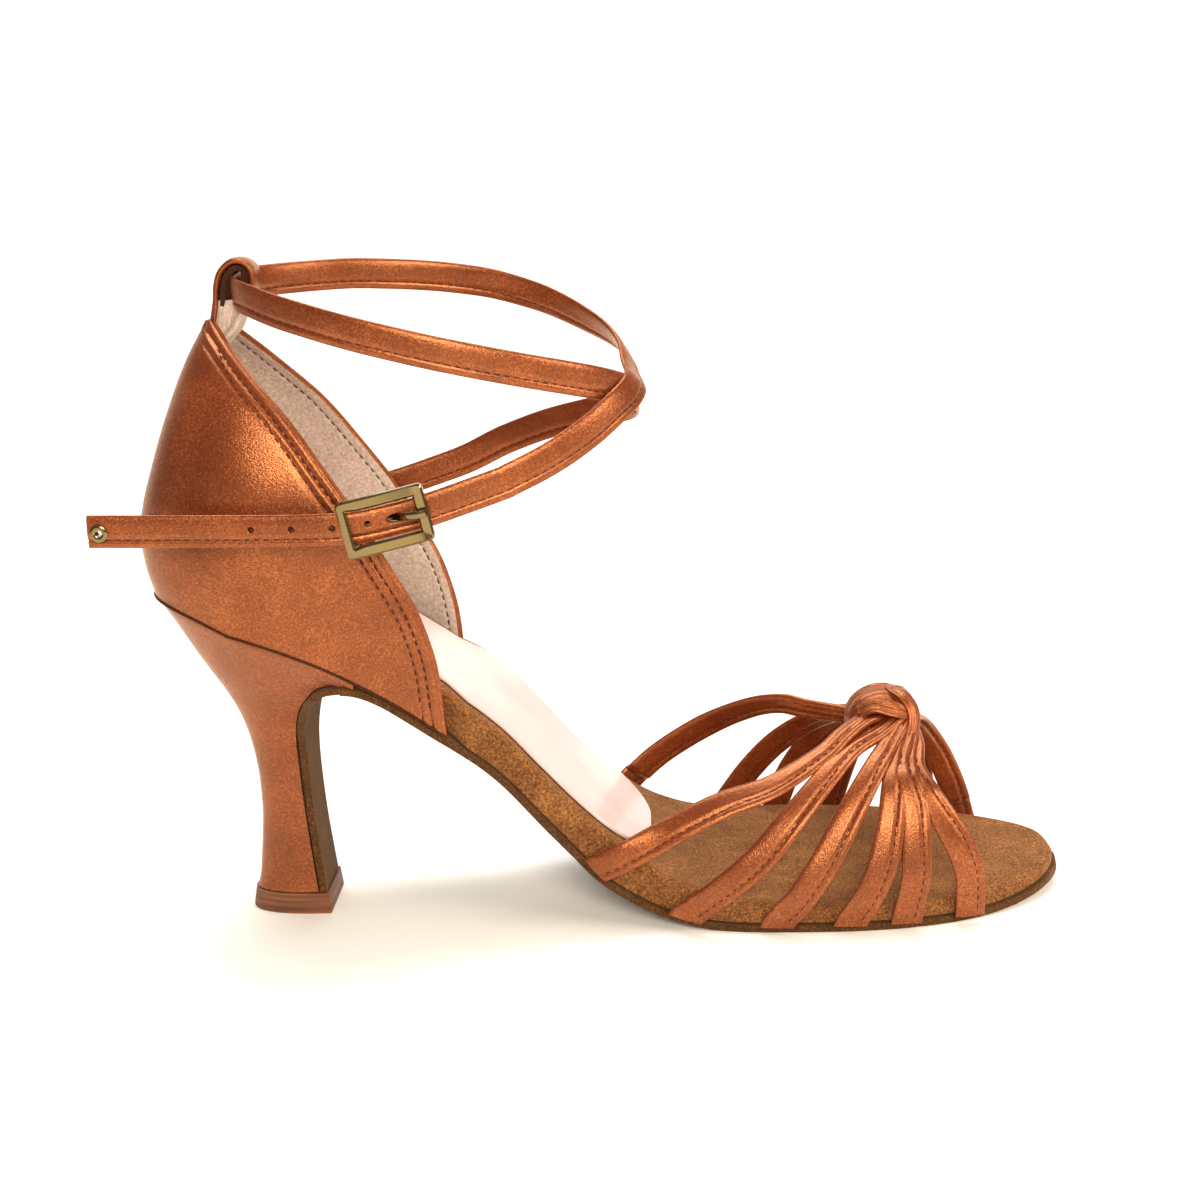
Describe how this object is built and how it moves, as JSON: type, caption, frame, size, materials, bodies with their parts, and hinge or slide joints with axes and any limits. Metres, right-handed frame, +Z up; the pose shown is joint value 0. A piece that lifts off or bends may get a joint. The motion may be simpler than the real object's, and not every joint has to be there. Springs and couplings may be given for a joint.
{
  "type": "ballroom dance sandal",
  "caption": "Women's ballroom dance sandal in copper satin with a closed back, knotted toe straps, a wrap-round ankle band with a gold buckle and a flared heel.",
  "frame": {"origin": "middle of the heel tip's flat bottom, on the floor", "axes": "+X from heel to toe, +Y to the inner side of the foot, +Z up; the buckle is on the -Y side"},
  "size_m": [0.2222, 0.0759, 0.1609],
  "materials": {
    "outsole": "suede",
    "insole": "suede",
    "sock": "smooth",
    "heel": "satin",
    "heel_tip": "matt",
    "quarter": "satin",
    "vamp": "satin",
    "ankle_strap": "satin",
    "back_loop": "satin",
    "buckle_tab": "satin",
    "buckle_frame": "polished",
    "buckle_prong": "polished",
    "strap_eyelet": "polished"
  },
  "bodies": {
    "root": {"outsole": "outsole", "insole": "insole", "sock": "sock", "heel": "heel", "heel_tip": "heel_tip", "quarter": "quarter", "vamp": "vamp", "ankle_strap": "ankle_strap", "back_loop": "back_loop", "buckle_tab": "buckle_tab", "buckle_frame": "buckle_frame", "buckle_prong": "buckle_prong", "strap_eyelet": "strap_eyelet"}
  },
  "joints": []
}
